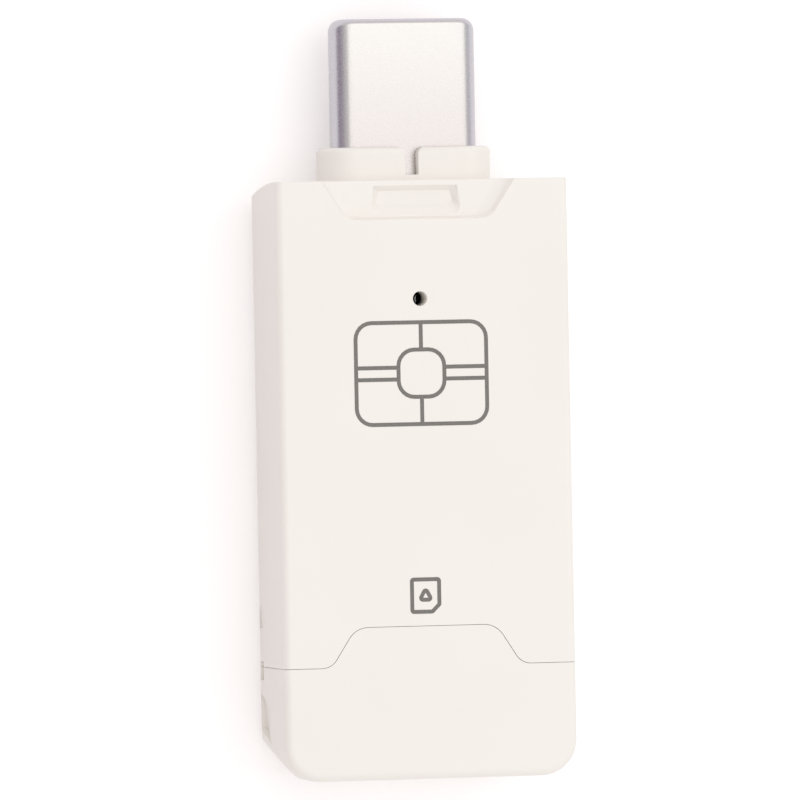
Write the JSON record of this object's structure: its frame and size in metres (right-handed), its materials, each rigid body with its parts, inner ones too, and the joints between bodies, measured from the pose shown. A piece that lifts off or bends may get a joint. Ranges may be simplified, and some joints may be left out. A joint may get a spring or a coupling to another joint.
{
  "type": "smart card reader",
  "caption": "Slim white card reader stick with a flat reversible metal plug at one end and a pull-off cap over the card slot at the other.",
  "frame": {"origin": "on the rear face, under the middle of the whole length from the cap to the plug's tip", "axes": "+Y along the reader towards the plug, +Z out of the front face, +X across"},
  "size_m": [0.0166, 0.042, 0.0073],
  "materials": {
    "white_plastic": "fine satin moulding",
    "plug_steel": "satin stainless steel",
    "dark_plastic": "black moulding",
    "gilt_contact": "gilt",
    "spring_steel": "bright",
    "board_laminate": "green resist",
    "chip_moulding": "matt black",
    "ceramic_tan": "ceramic",
    "light_lens": "clear lens"
  },
  "bodies": {
    "reader": {"front_shell": "white_plastic", "rear_shell": "white_plastic", "plug_shell": "plug_steel", "plug_insulator": "dark_plastic", "plug_contacts_upper": "gilt_contact", "plug_contacts_lower": "gilt_contact", "plug_latches": "spring_steel", "plug_ground_pads": "spring_steel", "circuit_board": "board_laminate", "card_connector": "dark_plastic", "card_contacts": "gilt_contact", "card_switch": "gilt_contact", "surge_guard": "chip_moulding", "reader_chip": "chip_moulding", "clock_crystal": "spring_steel", "voltage_regulator": "chip_moulding", "capacitors": "ceramic_tan", "resistors": "chip_moulding", "status_led": "light_lens"},
    "cap": {"card_door": "white_plastic"}
  },
  "joints": [
    {"name": "cap_slide", "type": "slide", "parent": "reader", "child": "cap", "axis": [0, -1, 0], "range_m": [0, 0.012]}
  ]
}
